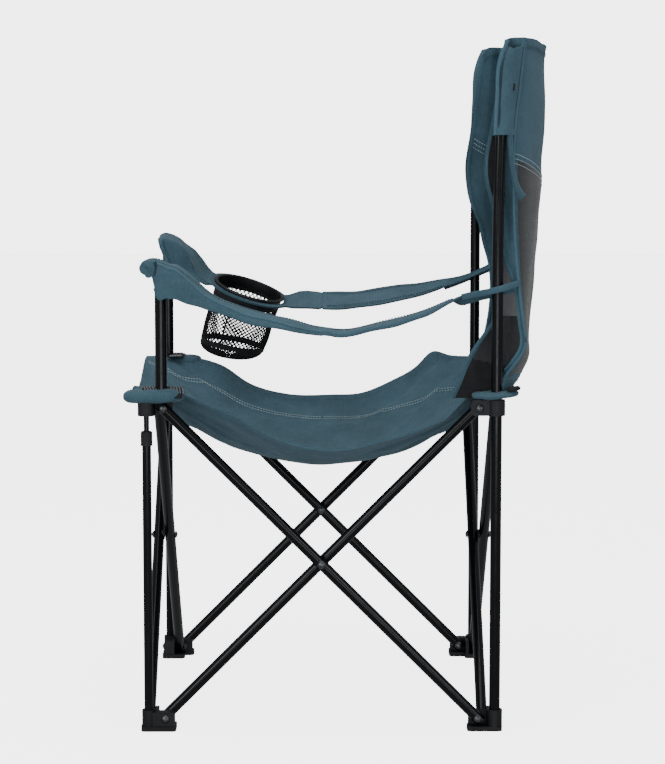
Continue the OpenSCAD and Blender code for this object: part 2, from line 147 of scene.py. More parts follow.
class Nodes:
    """A material and short ways to add nodes to it."""

    def __init__(self, name, color, roughness, **values):
        self.material = bpy.data.materials.new(name)
        self.material.use_nodes = True
        self.tree = self.material.node_tree
        self.shader = self.tree.nodes["Principled BSDF"]
        self.set(self.shader, {"Base Color": (*color, 1), "Roughness": roughness, **values})
        self.material.diffuse_color = (*color, 1)

    def set(self, node, values):
        for key, value in values.items():
            node.inputs[key].default_value = value

    def add(self, kind, values=None, **attributes):
        node = self.tree.nodes.new("ShaderNode" + kind)
        for key, value in attributes.items():
            setattr(node, key, value)
        self.set(node, values or {})
        return node

    def link(self, source, target):
        self.tree.links.new(source, target)

    def drive(self, name, source):
        self.link(source, self.shader.inputs[name])

    def noise(self, scale, detail=3):
        coordinates = self.add("TexCoord")
        noise = self.add("TexNoise", {"Scale": scale, "Detail": detail})
        self.link(coordinates.outputs["Object"], noise.inputs["Vector"])
        return noise.outputs["Fac"]

    def levels(self, value, low, high, out_low=0.0, out_high=1.0):
        limits = {"From Min": low, "From Max": high, "To Min": out_low, "To Max": out_high}
        spread = self.add("MapRange", limits)
        self.link(value, spread.inputs["Value"])
        return spread.outputs["Result"]

    def mix(self, factor, a, b):
        """A colour between a and b, each a colour or a socket."""
        mix = self.add("Mix", data_type="RGBA")
        self.link(factor, mix.inputs["Factor"])
        for socket, color in ((mix.inputs[6], a), (mix.inputs[7], b)):
            if isinstance(color, tuple):
                socket.default_value = (*color, 1)
            else:
                self.link(color, socket)
        return mix.outputs[2]

    def raise_by(self, height, distance, strength=1.0, under=None):
        node = self.add("Bump", {"Distance": distance, "Strength": strength})
        self.link(height, node.inputs["Height"])
        if under:
            self.link(under, node.inputs["Normal"])
        return node.outputs["Normal"]

    def weave(self, pitch):
        """Over-and-under threads that follow the cloth, as a height."""
        coordinates = self.add("TexCoord")
        heights = []
        for axis in "XY":
            wave = self.add(
                "TexWave",
                {"Scale": 1 / (pitch * math.pi), "Distortion": 0.4, "Detail": 1.0},
                wave_type="BANDS",
                bands_direction=axis,
            )
            self.link(coordinates.outputs["UV"], wave.inputs["Vector"])
            heights.append(wave.outputs["Fac"])
        join = self.add("Math", operation="MULTIPLY")
        for i, height in enumerate(heights):
            self.link(height, join.inputs[i])
        return join.outputs["Value"]


def shade(color, share):
    return tuple(min(1.0, c * share) for c in color)


def cloth_material(name, color, pitch, depth, blotch=0.17, **values):
    """Woven cloth: threads, uneven dye, and paler high spots where it has been rubbed."""
    n = Nodes(name, color, 0.85, **values)
    dye = n.levels(n.noise(13, 5), 0.32, 0.68)
    base = n.mix(dye, shade(color, 1 - blotch), shade(color, 1 + blotch))
    slub = n.levels(n.noise(260, 2), 0.35, 0.75, 0.0, 0.35)
    n.drive("Base Color", n.mix(slub, base, shade(color, 1.5)))
    n.drive("Roughness", n.levels(n.noise(60), 0.3, 0.7, 0.76, 0.92))
    wrinkles = n.raise_by(n.noise(24, 5), 0.006, 0.5)
    n.drive("Normal", n.raise_by(n.weave(pitch), depth, 0.8, wrinkles))
    return n.material


def net_material(name, color, pitch):
    """Fine knitted mesh, with small dark holes in rows."""
    n = Nodes(name, color, 0.6, **{"Sheen Weight": 0.25, "Sheen Roughness": 0.4})
    holes = n.levels(n.weave(pitch), 0.25, 0.6)
    dye = n.levels(n.noise(9, 4), 0.3, 0.7)
    base = n.mix(dye, shade(color, 0.88), shade(color, 1.12))
    n.drive("Base Color", n.mix(holes, base, shade(color, 0.45)))
    puckers = n.raise_by(n.noise(30, 3), 0.0015, 0.3)
    n.drive("Normal", n.raise_by(holes, -0.0005, 0.7, puckers))
    return n.material


def steel_material(name, color):
    """Gloss powder coat: faint orange peel, and light scuffs."""
    n = Nodes(name, color, 0.2, **{"Coat Weight": 0.05, "Coat Roughness": 0.1, "Specular IOR Level": 0.2})
    scuffs = n.levels(n.noise(130, 8), 0.68, 0.76)
    n.drive("Base Color", n.mix(scuffs, color, shade(color, 4)))
    n.drive("Roughness", n.levels(n.noise(45, 4), 0.3, 0.7, 0.15, 0.27))
    n.drive("Normal", n.raise_by(n.noise(900, 1), 0.00004, 0.6))
    return n.material


def plastic_material(name, color, roughness):
    """Moulded plastic with a spark-eroded grain, paler where edges are rubbed."""
    n = Nodes(name, color, roughness, **{"Specular IOR Level": 0.28})
    geometry = n.add("NewGeometry")
    worn = n.levels(geometry.outputs["Pointiness"], 0.53, 0.6, 0.0, 0.5)
    base = n.mix(n.levels(n.noise(25, 4), 0.3, 0.7), shade(color, 0.85), shade(color, 1.2))
    n.drive("Base Color", n.mix(worn, base, shade(color, 4)))
    n.drive("Roughness", n.levels(n.noise(80, 3), 0.3, 0.7, roughness - 0.07, roughness + 0.08))
    n.drive("Normal", n.raise_by(n.noise(1400, 2), 0.00006, 0.7))
    return n.material


def rivet_material(name, color):
    n = Nodes(name, color, 0.32, **{"Metallic": 1.0})
    n.drive("Base Color", n.mix(n.levels(n.noise(300, 5), 0.5, 0.7), color, shade(color, 0.45)))
    n.drive("Roughness", n.levels(n.noise(500, 3), 0.3, 0.7, 0.25, 0.5))
    n.drive("Normal", n.raise_by(n.noise(700, 2), 0.00005, 0.5))
    return n.material


BLUE = (0.040, 0.090, 0.122)
FABRIC_SHEEN = {"Sheen Weight": 0.12, "Sheen Roughness": 0.5, "Sheen Tint": (0.6, 0.85, 1.0, 1.0)}
FABRIC = cloth_material("fabric", BLUE, 0.0011, 0.00025, **FABRIC_SHEEN)
BINDING = cloth_material("binding", shade(BLUE, 0.9), 0.0008, 0.0003, blotch=0.08, **FABRIC_SHEEN)
HEM = cloth_material("hem", shade(BLUE, 1.3), 0.0008, 0.0003, blotch=0.08, **FABRIC_SHEEN)
# A dark teal used only as painted shade: the shadow in the sleeve's sewn groove, behind its lip and in the
# left armrest's crease.
GROOVE_SHADE = cloth_material("painted_groove_shade", shade(BLUE, 0.35), 0.0008, 0.0003, blotch=0.08)
MESH_CLOTH = net_material("mesh_cloth", (0.019, 0.021, 0.024), 0.0022)
# Black webbing. The same black also serves as painted shade in the back's and the gusset's shadowed hollows.
WEBBING_AND_SHADE = cloth_material("webbing", (0.006, 0.006, 0.007), 0.0018, 0.0006, blotch=0.2)
THREAD = cloth_material("thread", (0.42, 0.50, 0.52), 0.0006, 0.0001, blotch=0.08)
BAR_THREAD = cloth_material("bar_thread", (0.16, 0.17, 0.18), 0.0006, 0.0001, blotch=0.1)
NET = cloth_material("net_cord", (0.004, 0.004, 0.005), 0.0008, 0.0001, blotch=0.2)
STEEL = steel_material("tube_steel", (0.003, 0.003, 0.004))
PLASTIC = plastic_material("plastic", (0.005, 0.005, 0.006), 0.5)
RING_PLASTIC = plastic_material("ring_plastic", (0.006, 0.007, 0.008), 0.5)
RIVET = rivet_material("rivet_steel", (0.12, 0.12, 0.125))

SLOT_MATERIALS = {
    "fabric": FABRIC, "mesh": NET, "tube_steel": STEEL, "plastic": PLASTIC,
    "ring_plastic": RING_PLASTIC, "rivet_steel": RIVET,
}


def dress_cad():
    for part in frame["record"]["subparts"]:
        mesh = frame["nodes"][part["node"]].data
        mesh.materials.clear()
        mesh.materials.append(SLOT_MATERIALS[part["material_slot"]])
        mesh.set_sharp_from_angle(angle=math.radians(35))


# ---- Mesh building ----


def show(thing):
    bpy.context.scene.collection.objects.link(thing)


def grid(a, b):
    return np.meshgrid(a, b, indexing="ij")


def cell_middles(a):
    return (a[:-1, :-1] + a[1:, 1:]) / 2


def run_along(points):
    """How far each point of a line is along it; a grid's lines run along its second axis."""
    steps = np.linalg.norm(np.diff(points, axis=-2), axis=-1)
    return np.concatenate([np.zeros((*steps.shape[:-1], 1)), np.cumsum(steps, axis=-1)], axis=-1)


def new_piece(name, body, verts, faces, materials, paint=None, smooth=True):
    """A mesh piece from points in millimetres, riding on a CAD body."""
    mesh = bpy.data.meshes.new(name)
    mesh.from_pydata([tuple(at(*v)) for v in verts], [], faces)
    for material in materials:
        mesh.materials.append(material)
    if paint is not None:
        mesh.polygons.foreach_set("material_index", paint)
    mesh.polygons.foreach_set("use_smooth", [smooth] * len(faces))
    mesh.update()
    piece = bpy.data.objects.new(name, mesh)
    show(piece)
    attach(piece, body)
    return piece


def sheet_mesh(name, body, middle, thick, materials=(FABRIC,), zones=None, wrap=False,
               under=None):
    """A closed cloth sheet about a grid of middle points, shape (rows, columns, 3).
    zones picks the material of each cell, and under that of its other face where it differs."""
    rows, cols = middle.shape[:2]
    if wrap:
        along_v = np.roll(middle, -1, axis=1) - np.roll(middle, 1, axis=1)
    else:
        along_v = np.gradient(middle, axis=1)
    normal = np.cross(np.gradient(middle, axis=0), along_v)
    normal /= np.linalg.norm(normal, axis=2, keepdims=True) + 1e-9
    half = (np.broadcast_to(thick, (rows, cols)) / 2)[..., None] * normal
    verts = np.concatenate([(middle + half).reshape(-1, 3), (middle - half).reshape(-1, 3)])
    count = rows * cols
    spans = cols if wrap else cols - 1
    if zones is None:
        zones = np.zeros((rows - 1, spans), int)
    if under is None:
        under = zones
    faces, kinds = [], []

    def corner(i, j):
        return i * cols + j % cols

    def face(kind, *corners):
        faces.append(corners)
        kinds.append(int(kind))

    def edge_face(kind, a, b, flip):
        loop = (a, b, b + count, a + count)
        face(kind, *(loop[::-1] if flip else loop))

    for i in range(rows - 1):
        for j in range(spans):
            a, b, c, d = corner(i, j), corner(i + 1, j), corner(i + 1, j + 1), corner(i, j + 1)
            face(zones[i, j], a, b, c, d)
            face(under[i, j], d + count, c + count, b + count, a + count)
    for j in range(spans):
        edge_face(zones[0, j], corner(0, j), corner(0, j + 1), False)
        edge_face(zones[-1, j], corner(rows - 1, j), corner(rows - 1, j + 1), True)
    if not wrap:
        for i in range(rows - 1):
            edge_face(zones[i, 0], corner(i, 0), corner(i + 1, 0), True)
            edge_face(zones[i, -1], corner(i, cols - 1), corner(i + 1, cols - 1), False)
    piece = new_piece(name, body, verts, faces, materials, kinds)
    rise = run_along(np.swapaxes(middle, 0, 1)).T
    flat = np.stack([run_along(middle), rise], axis=2).reshape(-1, 2) * MM
    layer = piece.data.uv_layers.new(name="UVMap")
    index = np.zeros(len(piece.data.loops), int)
    piece.data.loops.foreach_get("vertex_index", index)
    layer.data.foreach_set("uv", flat[index % count].astype(np.float32).ravel())
    piece.data.set_sharp_from_angle(angle=math.radians(60))
    return piece


def tube_faces(rings, sides, first=0):
    """The walls of a tube of rings of points, then its two ends."""
    faces = []
    for i in range(rings - 1):
        for k in range(sides):
            a, b = (first + i * sides + n % sides for n in (k, k + 1))
            faces.append((a, b, b + sides, a + sides))
    last = first + (rings - 1) * sides
    return [*faces, tuple(range(first, first + sides))[::-1], tuple(range(last, last + sides))]


def tube(name, body, points, radius, material, sides=8, flat=1.0, up=(0, 0, 1)):
    """A round or flattened cord along points, with flat ends. radius is one value or one a point."""
    points = np.array(points, float)
    count = len(points)
    radius = np.broadcast_to(radius, count)
    step = np.gradient(points, axis=0)
    step /= np.linalg.norm(step, axis=1, keepdims=True) + 1e-9
    side = np.cross(step, up)
    side /= np.linalg.norm(side, axis=1, keepdims=True) + 1e-9
    top = np.cross(side, step)
    verts = []
    for p, s, t, r in zip(points, side, top, radius):
        for k in range(sides):
            a = math.tau * k / sides
            verts.append(p + s * math.cos(a) * r + t * math.sin(a) * r * flat)
    piece = new_piece(name, body, verts, tube_faces(count, sides), (material,))
    piece.data.set_sharp_from_angle(angle=math.radians(60))
    return piece


def stitch_mesh(name, body, lines, material=THREAD, length=3.2, gap=1.4, radius=0.55):
    """Rows of separate stitches, each a small capsule sunk into the cloth. A line is a list of points."""
    verts, faces = [], []
    rings = ((-0.5, 0.35), (-0.36, 1.0), (0.36, 1.0), (0.5, 0.35))
    for line in lines:
        line = np.array(line, float)
        run = run_along(line)
        if run[-1] < length:
            continue
        for start in np.arange(gap / 2, run[-1] - length, length + gap):
            near, far = (np.array([np.interp(d, run, line[:, k]) for k in range(3)])
                         for d in (start, start + length))
            along = far - near
            reach = np.linalg.norm(along)
            along /= reach
            side = np.cross(along, (0.31, 0.22, 0.92))
            side /= np.linalg.norm(side)
            top = np.cross(side, along)
            faces += tube_faces(len(rings), 5, len(verts))
            for share, wide in rings:
                middle = (near + far) / 2 + along * share * reach
                for k in range(5):
                    a = math.tau * k / 5
                    verts.append(middle + (side * math.cos(a) + top * math.sin(a)) * radius * wide)
    return new_piece(name, body, verts, faces, (material,))


def pad_mesh(name, body, outline, low, high, material=FABRIC, rings=7, tilt=0.0, wave=0.5):
    """A stuffed pad over a closed outline of (x, y): the edge is rounded and the faces crowned."""
    outline = np.array(outline, float)
    middle = outline.mean(0)
    count = len(outline)
    verts, faces = [], []
    thick = (high - low) / 2
    for ring in range(rings * 2 + 1):
        a = math.pi * ring / (rings * 2)
        inset = 1 - (1 - math.sin(a) ** 0.5) * 0.75
        z = (high + low) / 2 + thick * math.copysign(abs(math.cos(a)) ** 0.8, math.cos(a))
        for x, y in middle + (outline - middle) * inset:
            verts.append((x, y, z + tilt * (y - middle[1]) + wave * float(waves(x, y, 22, 5))))
    for ring in range(rings * 2):
        for k in range(count):
            a, b = ring * count + k, ring * count + (k + 1) % count
            faces.append((a, a + count, b + count, b))
    faces.append(tuple(range(count)))
    faces.append(tuple(range(rings * 2 * count, len(verts)))[::-1])
    return new_piece(name, body, verts, faces, (material,))


# ---- The seat sling ----

SEAT_EDGE = {
    1: profile([
        (-289, 496), (-201, 488), (-131, 462), (-72, 430), (-8, 412), (32, 412), (73, 422), (141, 443),
        (170, 455), (214, 476), (280, 494),
    ]),
    -1: profile([
        (-289, 503), (-237, 500), (-162, 486), (-122, 459), (-63, 440), (16, 437), (65, 440),
        (114, 460), (154, 483), (180, 508), (213, 503), (280, 498),
    ]),
}
SEAT_DIP = 132.0  # below the corners, at the middle
FRONT_DIP = 15.0
CLOTH = 1.5


def seat_seam_x(y):
    """The sewn line that runs from front to rear beside each edge, nearer the middle at the rear."""
    return SEAT_SEAM - 34 * ramp(y, 40, 230)


def seat_height(x, y):
    u = np.abs(x) / SEAT_HALF_WIDTH
    v = np.where(y < 0, -y / SEAT_FRONT, y / SEAT_REAR)
    middle = SEAT_Z - SEAT_DIP * (1 - v**2) - FRONT_DIP * v**2
    edge = np.where(x > 0, SEAT_EDGE[1](y), SEAT_EDGE[-1](y))
    z = middle + (edge - middle) * u**2.1
    pulled = creased = 0
    for cx, cy in CORNERS.values():
        dx = SEAT_HALF_WIDTH - cx * x
        dy = (SEAT_FRONT if cy < 0 else SEAT_REAR) - cy * y
        turn = np.arctan2(dy, dx + 1e-6)
        pulled = pulled + np.sin(turn * 17 + cx + 2 * cy) * bump(np.hypot(dx, dy), 150, 85)
        ridges = bump(np.sin(turn * 8 + 1.3 * cx + 0.7 * cy), 0, 0.3) - 0.3
        creased = creased + ridges * bump(np.hypot(dx, dy), 150, 100)
    z = z + 2.4 * pulled * (1 - 0.4 * u) + 3.2 * creased + 1.8 * waves(x, y, 95, 11) * (1 - u**6)
    z = z + 3.5 * bump(np.abs(x) - seat_seam_x(y), -26, 13) * np.sin(y / 19.0) * (1 - v**4)
    flat = ramp(u * v, 0.62, 0.86)
    return z + (SEAT_Z + 5 - z) * flat


def drawn_in(x, y):
    """How far the front edge is drawn back, more towards the left."""
    return 13 * ramp(x, -190, 235) * ramp(-y, 190, SEAT_FRONT)


def seat_quarter(corner, sx, sy):
    body = f"seat_quarter_{corner}"
    depth = SEAT_FRONT if sy < 0 else SEAT_REAR
    x = sx * np.linspace(0, 1, 60) * SEAT_HALF_WIDTH
    y = sy * np.linspace(0, 1, 66) * depth
    gx, gy = grid(x, y)
    points = np.stack([gx, gy + drawn_in(gx, gy), seat_height(gx, gy)], 2)
    to_side = SEAT_HALF_WIDTH - np.abs(gx)
    to_end = depth - np.abs(gy)
    thick = CLOTH + 1.3 * (to_side < 15) + 1.0 * (to_end < 26)
    thick = thick + 1.0 * bump(np.abs(gx) - seat_seam_x(gy), 0, 4)
    cloth = sheet_mesh(f"seat_{corner}_cloth", body, points, thick)
    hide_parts(f"seat_{corner}")
    lines = []
    for off in (-2.6, 2.6):
        along = np.linspace(2, depth - 6, 60) * sy
        across = sx * (seat_seam_x(along) + off)
        lines.append(np.stack([across, along, seat_height(across, along) + CLOTH / 2 + 0.9], 1))
    seams = stitch_mesh(f"seat_{corner}_stitches", body, lines)
    hems = []
    for inset in (19, 23):
        across = sx * np.linspace(3, SEAT_HALF_WIDTH - 4, 50)
        along = np.full(50, sy * (depth - inset))
        high = seat_height(across, along) + CLOTH / 2 + 0.75
        hems.append(np.stack([across, along + drawn_in(across, along), high], 1))
    along = np.linspace(4, depth - 24, 60) * sy
    across = np.full(60, sx * (SEAT_HALF_WIDTH - 12.0))
    hems.append(np.stack([across, along, seat_height(across, along) + CLOTH / 2 + 0.9], 1))
    hem_row = stitch_mesh(f"seat_{corner}_hem_stitches", body, hems, BINDING)
    for piece in (cloth, seams, hem_row):
        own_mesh(piece)


# ---- The pads that hold the seat on its hubs ----


def oval(cx, cy, rx, ry, power=2.6, count=40):
    points = []
    for k in range(count):
        a = math.tau * k / count
        c, s = math.cos(a), math.sin(a)
        points.append((cx + rx * math.copysign(abs(c) ** (2 / power), c),
                       cy + ry * math.copysign(abs(s) ** (2 / power), s)))
    return points


def corner_pad(corner, sx, sy):
    hub = corner.replace("_", "_hub_")
    if sy < 0:
        outline = oval(sx * (POST - 10), sy * (POST - 9), 28, 45)
        pad = pad_mesh(f"pad_{corner}", hub, outline, 482, 502, tilt=0.03, wave=1.0)
        webbing_patch(corner, hub, sx, sy)
    else:
        outline = oval(sx * (POST - 10), POST - 3, 28, 34)
        pad = pad_mesh(f"pad_{corner}", hub, outline, 488, 498, tilt=0.06, wave=1.2)
        outline = oval(sx * (POST + 6), POST + 22, 9, 10, power=5)
        tab = pad_mesh(f"tab_{corner}", hub, outline, 500, 506, WEBBING_AND_SHADE, rings=3, tilt=0.1, wave=0.7)


def webbing_patch(corner, hub, sx, sy):
    """The patch that an arm post stands through, with bars of thick thread; it laps over the pad's side."""
    high = 503.2

    def spot(u, v):
        """u runs along the patch from its middle, and v out across it, in millimetres."""
        drop = 0.045 * np.maximum(0, v - 2) ** 2
        if sx > 0:
            return np.stack([POST - 6 + v, sy * (POST - 22) + u, high - drop + 0 * u], -1)
        return np.stack([sx * (POST - 22) + u, sy * (POST - 14 + v), high + 0 * u], -1)

    u, v = grid(np.linspace(-29, 29, 30), np.linspace(-12, 19 if sx > 0 else 14, 16))
    points = spot(u, v)
    if sx > 0:
        points = points[::-1]
    patch = sheet_mesh(f"webbing_{corner}", hub, points, 1.6, (WEBBING_AND_SHADE,))
    bars = []
    for end in (-1, 1):
        for k in range(5):
            along = end * (11.0 + 4.0 * k)
            across = np.linspace(-8, 17 if sx > 0 else 11, 9)
            bars.append(spot(along + across * 0.22, across) + (0, 0, 1.1))
    stitches = stitch_mesh(f"webbing_{corner}_bars", hub, bars, BAR_THREAD, length=3.6, gap=0.15, radius=0.95)


# ---- The back ----

BACK_MIDDLE = profile([
    (497, 282), (515, 300), (541, 313), (565, 308), (596, 311), (650, 320), (719, 326), (780, 329),
    (872, 333), (1004, 334),
])
BACK_FOLD = {
    1: profile([
        (497, 258), (522, 264.5), (538, 277), (556, 289), (567, 291.5), (599, 288), (654, 281),
        (710, 276), (800, 273), (866, 273), (940, 281), (1004, 288),
    ]),
    -1: profile([
        (497, 262), (540, 282), (599, 286), (654, 286), (710, 282), (800, 276), (866, 284), (1004, 288),
    ]),
}
BACK_EDGE = {
    1: profile([
        (497, 253), (522, 260), (538, 272), (556, 284), (599, 284), (654, 275), (687, 262), (740, 252),
        (772, 241), (806, 232), (832, 232), (866, 238), (907, 245.5), (940, 250), (972, 255),
        (1004, 260),
    ]),
    -1: profile([
        (497, 256), (531, 265), (564, 272), (656, 272), (689, 262), (720, 255), (747, 243), (804, 233),
        (862, 240), (935, 250), (972, 256), (1004, 263),
    ]),
}
SIDE_STRIP = 0.84
STRIP_X = POST - 13
# Fabric, mesh, and a black that stands as painted shade in the back's and the gusset's shadowed hollows.
BACK_CLOTHS_AND_SHADE = (FABRIC, MESH_CLOTH, WEBBING_AND_SHADE)


def vee_seam(s):
    """Height of the sewn V where the upper panel meets the mesh, from the middle out."""
    return 784 + 52 * s + 19 * s**8


def back_point(side, s, z):
    """A point of the back panel: s is 0 at the middle, SIDE_STRIP at the fold and 1 at the edge."""
    fold, edge, middle = BACK_FOLD[side](z), BACK_EDGE[side](z), BACK_MIDDLE(z)
    fold_x = POST - 9 + 3 * ramp(z, 780, 880)
    u = np.clip(s / SIDE_STRIP, 0, 1)
    t = np.clip((s - SIDE_STRIP) / (1 - SIDE_STRIP), 0, 1)
    x = fold_x * u + (STRIP_X - fold_x) * ramp(t, 0, 0.5)
    y = fold + (middle - fold) * np.maximum(0, 1 - u**2.3) ** 0.72 + (edge - fold) * t
    tail = ramp(z, SLEEVE_BOTTOM - 5, SLEEVE_BOTTOM + 5)
    x = x + 2.5 * np.sin(t * math.pi) * (1 - tail) * np.sin(z / 21.0)
    sag = (1 - u**4) * (1.8 * waves(x, z, 120, 21) + 1.6 * np.sin((x * 0.7 + z) / 33.0) * ramp(z, 870, 760))
    gather = bump(z, BACK_TOP - 26, 14) * 0.8 + bump(z, BACK_BOTTOM + 20, 10)
    return x * side, y + sag * ramp(t, 1, 0.2) - gather * (1 - t), z


def back_top_edge(s):
    """How far the top hem hangs below the tops of the sleeves."""
    return 9 * ramp(s, 0.95, 0.2) + 3 * bump(s, 0.62, 0.09) + 9 * ramp(s, 0.9, 1.0)


def back_bottom_sag(s, z):
    """How far the lower hem hangs down between the posts."""
    return 13 * (1 - s**2) * ramp(z, BACK_BOTTOM + 70, BACK_BOTTOM)


def back_grid(side, s, z):
    s, z = grid(s, z)
    x, y, z = back_point(side, s, z - back_top_edge(s) * ramp(z, BACK_TOP - 120, BACK_TOP))
    return s, np.stack([x, y, z - back_bottom_sag(s, z)], 2)


def back_line(side, s, z, face, lift=1.15):
    """Points on one face of the back, for stitches: face 1 is the front, and -1 the rear."""
    s, z = np.array(s, float), np.array(z, float)
    here = np.stack(back_point(side, s, z), 1)
    ahead = np.stack(back_point(side, np.clip(s + 0.004, 0, 1), z), 1)
    behind = np.stack(back_point(side, np.clip(s - 0.004, 0, 1), z), 1)
    above = np.stack(back_point(side, s, z + 1), 1)
    normal = np.cross(ahead - behind, above - here) * side
    normal /= np.linalg.norm(normal, axis=1, keepdims=True)
    return here + normal * face * lift


def back_panel(name, side, leg):
    s = np.concatenate([np.linspace(0, SIDE_STRIP, 52), np.linspace(SIDE_STRIP, 1, 16)[1:]])
    z = np.linspace(BACK_BOTTOM, BACK_TOP, 150)
    share, points = back_grid(side, s, z)
    height = points[:, :, 2]
    seam = height - vee_seam(share)
    from_edge = (1 - share) / (1 - SIDE_STRIP)
    thick = CLOTH + 1.1 * bump(seam, 0, 9) + 1.4 * (height > BACK_TOP - 13)
    thick = thick + 1.2 * (height < BACK_BOTTOM + 18) + 1.6 * (from_edge < 0.16)
    mid, high = cell_middles(share), cell_middles(height)
    mesh_zone = (mid < SIDE_STRIP - 0.012) & (high < vee_seam(mid)) & (high > BACK_BOTTOM + 22)
    t = (mid - SIDE_STRIP) / (1 - SIDE_STRIP)
    # Painted shade: on the outer face of the side strip below the sleeve, black cloth stands for the shadow
    # in the hollow there.
    painted_shade_zone = (t > 0.3) & (t < 0.86) & (high < SLEEVE_BOTTOM) & (high > 738 + 75 * (0.9 - t))
    inner = mesh_zone.astype(int)
    outer = np.where(painted_shade_zone, 2, inner)
    faces = (inner, outer) if side > 0 else (outer, inner)
    panel = sheet_mesh(f"back_{name}_panel", leg, points, thick, BACK_CLOTHS_AND_SHADE, faces[0], under=faces[1])
    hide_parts(f"back_{name}")
    return panel


def back_sewing(name, side, leg):
    """The white rows of the V on both faces, and the dark rows along the hems."""
    rows = []
    across = np.linspace(0.005, 0.985, 90)
    for off in (-7, 0, 7):
        rows.append(back_line(side, across, vee_seam(across) + off, 1))
        rows.append(back_line(side, across[:78], vee_seam(across[:78]) + off, -1))
    seams = stitch_mesh(f"back_{name}_stitches", leg, rows)
    quiet = []
    for inset in (11.5, 14.5):
        for face in (1, -1):
            quiet.append(back_line(side, across, BACK_TOP - inset - back_top_edge(across), face, 1.6))
    for inset in (15, 19):
        low = back_line(side, across[:75], np.full(75, BACK_BOTTOM + inset), -1, 1.5)
        low[:, 2] -= back_bottom_sag(across[:75], low[:, 2])
        quiet.append(low)
    up = np.linspace(BACK_BOTTOM + 30, SLEEVE_BOTTOM, 70)
    quiet.append(back_line(side, np.full(70, 0.972), up, 1, 1.4))
    return seams, stitch_mesh(f"back_{name}_hem_stitches", leg, quiet, BINDING)


def back_half(name, side):
    leg = f"rear_leg_{name}"
    panel = back_panel(name, side, leg)
    seams, hems = back_sewing(name, side, leg)
    line = back_line(side, np.full(80, SIDE_STRIP), np.linspace(BACK_BOTTOM + 3, BACK_TOP - 6, 80), -1, 0.8)
    piping = tube(f"back_{name}_piping", leg, line, 2.1, HEM)
    edge = np.linspace(BACK_BOTTOM + 30, BACK_TOP - 3, 110)
    line = back_line(side, np.full(110, 0.985), edge, 1, 0)
    hem = tube(f"back_{name}_front_hem", leg, line, 3.0, HEM, flat=0.55, up=(1, 0, 0))
    sleeve, flap, flap_hem, trims = back_sleeve(name, side)
    for piece in (panel, seams, hems, piping, hem):
        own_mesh(piece)


EYELET = (928.0, 940.0)
SLEEVE_FRONT = profile([(866, 244.5), (920, 247), (968, 250), (985, 255), (1004, 264)])
FLAP_FRONT = profile([(772, 281.5), (781, 277), (802, 270.6), (823, 266.8), (845, 264.5), (869, 262.5)])
FLAP_REAR = profile([(779, 290), (788, 282.8), (802, 277), (823, 272.5), (845, 270.2), (872, 269.3)])


def sleeve_point(side, a, z):
    """A point of the sleeve: a is 0 at its tail, and goes over the outer side to the front at pi."""
    front, tail = SLEEVE_FRONT(z), BACK_FOLD[side](z) - 0.5
    body = np.sin(a) * np.sin(a / 2) * (13.4 + 0.9 * np.sin(z / 9.0) * bump(a, 1.6, 0.8))
    x = POST + body * (1 + 0.1 * bump(z, SLEEVE_BOTTOM, 14)) - 3.2 * np.cos(a / 2) ** 6
    y = (tail + front) / 2 + (tail - front) / 2 * np.cos(a)
    return np.stack([side * x, y, z], -1)


def back_sleeve(name, side):
    """The pocket that the post's top slides into: a teardrop in plan, with its tail sewn to the panel."""
    leg = f"rear_leg_{name}"
    a, h = grid(np.linspace(0, math.tau, 73)[:-1], np.linspace(0, 1, 40))
    dip = 13 * ramp(a, 0.1, 0.8) * ramp(a, 3.0, 2.5) + 3 * bump(a, 1.6, 0.35)
    dip = np.maximum(dip, (3 if side > 0 else 10) * bump(a, math.pi, 0.7))
    z = SLEEVE_BOTTOM + h * (BACK_TOP - dip - SLEEVE_BOTTOM)
    points = sleeve_point(side, a, z)
    if side < 0:
        points = points[::-1]
    points = np.swapaxes(points, 0, 1)
    thick = 1.5 + 1.0 * (points[:, :, 2] < SLEEVE_BOTTOM + 9)
    sleeve = sheet_mesh(f"back_{name}_sleeve", leg, points, thick, wrap=True)
    slit = sleeve_point(side, np.full(2, 1.06), np.array(EYELET)) + (side * 0.9, 0, 0)
    eyelet = stitch_mesh(f"back_{name}_eyelet", leg, [slit], WEBBING_AND_SHADE, length=11, gap=0.2, radius=1.7)
    rise = np.linspace(SLEEVE_BOTTOM + 3, BACK_TOP - 14, 40)
    # A thin dark cord down the sleeve: painted shade standing for the shadow in its sewn groove.
    groove = sleeve_point(side, np.full(40, 0.42), rise) + (side * 0.4, 0, 0)
    groove = tube(f"back_{name}_sleeve_seam_shadow", leg, groove, 0.9, GROOVE_SHADE)
    rise = np.linspace(SLEEVE_BOTTOM, BACK_TOP - 4, 50)
    lip = np.stack([np.full(50, side * (POST + 8.2)), SLEEVE_FRONT(rise) + 0.9, rise], -1)
    lip = tube(f"back_{name}_sleeve_lip", leg, lip, 2.9, HEM, flat=0.7, up=(1, 0, 0))
    # A dark strip just behind the lip: painted shadow, standing for the shade the lip casts on the sleeve.
    fold = np.stack([np.full(50, side * (POST + 9.4)), SLEEVE_FRONT(rise) + 5.4, rise - 3], -1)
    fold = tube(f"back_{name}_sleeve_fold_shadow", leg, fold, 1.7, GROOVE_SHADE, flat=0.8, up=(1, 0, 0))
    t, h = grid(np.linspace(0, 1, 12), np.linspace(0, 1, 40))
    z = 870 - h * (98 - 8 * t)
    y = FLAP_FRONT(z) + (FLAP_REAR(z) - FLAP_FRONT(z)) * t
    x = POST + 3 + 2.5 * np.sin(math.pi * t) + 3 * h
    points = np.stack([side * x, y, z], -1)
    flap = sheet_mesh(f"back_{name}_flap", leg, points if side < 0 else points[::-1], 1.6, (BINDING,))
    hem = tube(f"back_{name}_flap_hem", leg, [points[-1, k] for k in range(40)], 1.2, HEM)
    return sleeve, flap, hem, (eyelet, groove, lip, fold)


